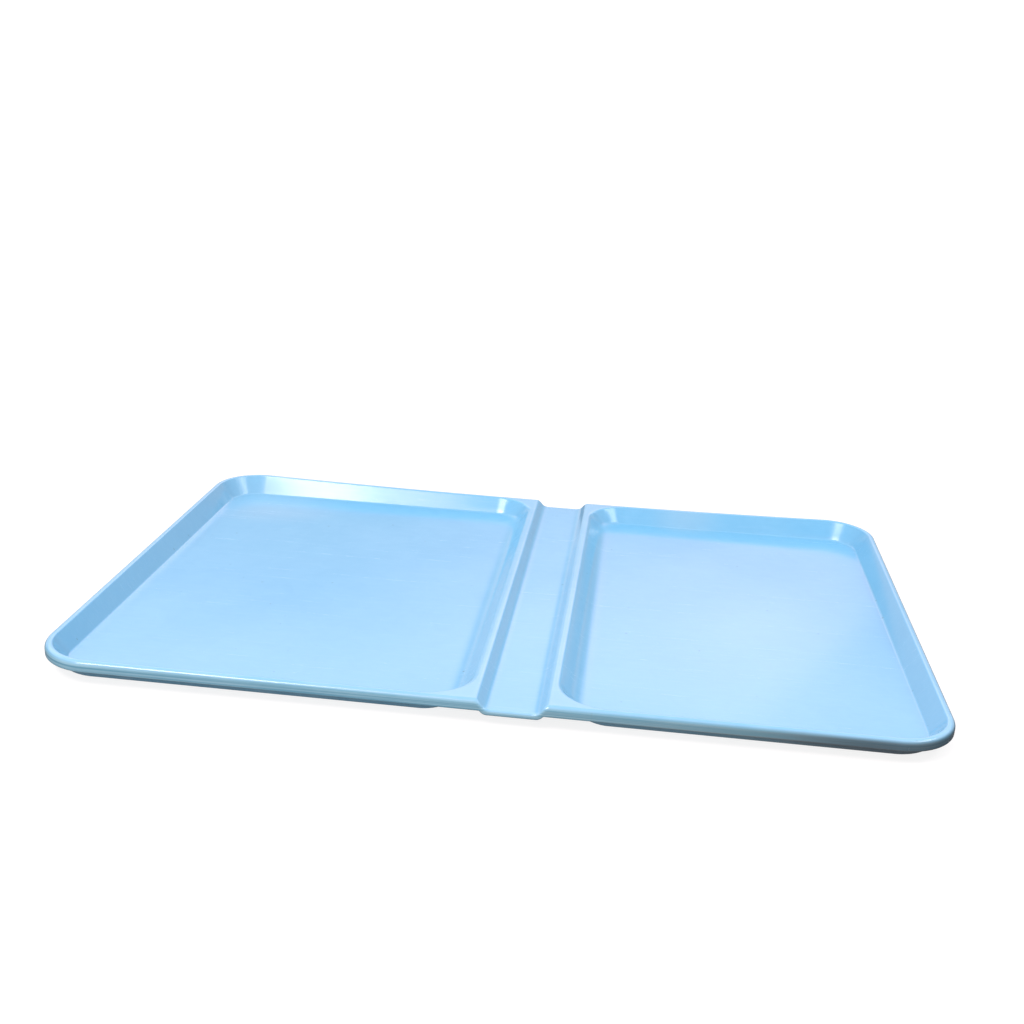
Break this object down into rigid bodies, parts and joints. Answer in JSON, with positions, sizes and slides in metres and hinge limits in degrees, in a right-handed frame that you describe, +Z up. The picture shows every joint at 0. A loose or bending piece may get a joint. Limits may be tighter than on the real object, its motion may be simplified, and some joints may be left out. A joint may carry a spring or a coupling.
{
  "type": "divided tray",
  "caption": "Flat rectangular tray with two shallow rounded-corner basins side by side and a shallow straight channel between them, inside a thick rounded rim.",
  "frame": {"origin": "bottom centre of the whole tray, on the plane that the undersides of the two basins rest on", "axes": "+X along the tray's long side from the wider left basin to the right basin, +Y to the back edge along the channel, +Z up out of the basins"},
  "size_m": [0.54, 0.375, 0.015],
  "materials": {
    "moulded_polyester": "glossy light-blue glass-fibre reinforced polyester, faintly mottled, rim edge slightly worn",
    "rod_aluminium": "assumed drawn rod, moulded in and not visible"
  },
  "bodies": {
    "root": {"tray_moulding": "moulded_polyester", "corner_rod_front_left": "rod_aluminium", "corner_rod_front_right": "rod_aluminium", "corner_rod_back_left": "rod_aluminium", "corner_rod_back_right": "rod_aluminium"}
  },
  "joints": []
}
